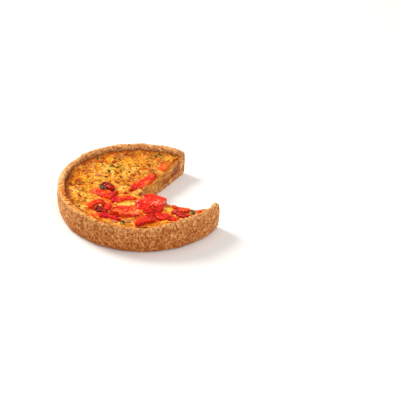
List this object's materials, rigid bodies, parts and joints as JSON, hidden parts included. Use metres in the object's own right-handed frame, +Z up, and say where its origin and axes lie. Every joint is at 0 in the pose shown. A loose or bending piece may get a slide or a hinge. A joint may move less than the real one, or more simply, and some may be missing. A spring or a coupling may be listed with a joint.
{
  "type": "tomato mozzarella quiche",
  "caption": "Round deep savoury tart with a thick wholemeal crust, baked egg and cheese custard and roasted tomato pieces on top, with one wedge cut out and taken away.",
  "frame": {"origin": "middle of the round quiche's flat underside", "axes": "+Z up; the missing wedge opens towards +X and +Y"},
  "size_m": [0.1503, 0.1434, 0.0263],
  "materials": {
    "crust": "dry, coarse baked pastry",
    "custard": "moist baked custard with browned cheese",
    "tomato": "moist roasted tomato",
    "dark_tomato": "glossy dark roasted skin",
    "leaf": "baked leaf"
  },
  "bodies": {
    "root": {"crust": "crust", "custard": "custard", "tomato_strip_back": "tomato", "tomato_chip_back": "tomato", "tomato_roll_dark": "dark_tomato", "tomato_chunk_left": "tomato", "tomato_strip_middle": "tomato", "tomato_square": "tomato", "tomato_fold": "tomato", "tomato_curl": "tomato", "tomato_core": "dark_tomato", "tomato_chip_curl": "tomato", "tomato_slab_front": "tomato", "tomato_sliver_front": "dark_tomato", "tomato_arc_front": "tomato", "tomato_strip_cut_dark": "dark_tomato", "tomato_strip_cut": "tomato", "tomato_chip_cut": "tomato", "tomato_chip_right": "tomato", "tomato_chip_low": "tomato", "tomato_patch_front": "tomato", "tomato_chip_left": "tomato", "leaf_left": "leaf", "leaf_right": "leaf", "leaf_front": "leaf"}
  },
  "joints": []
}
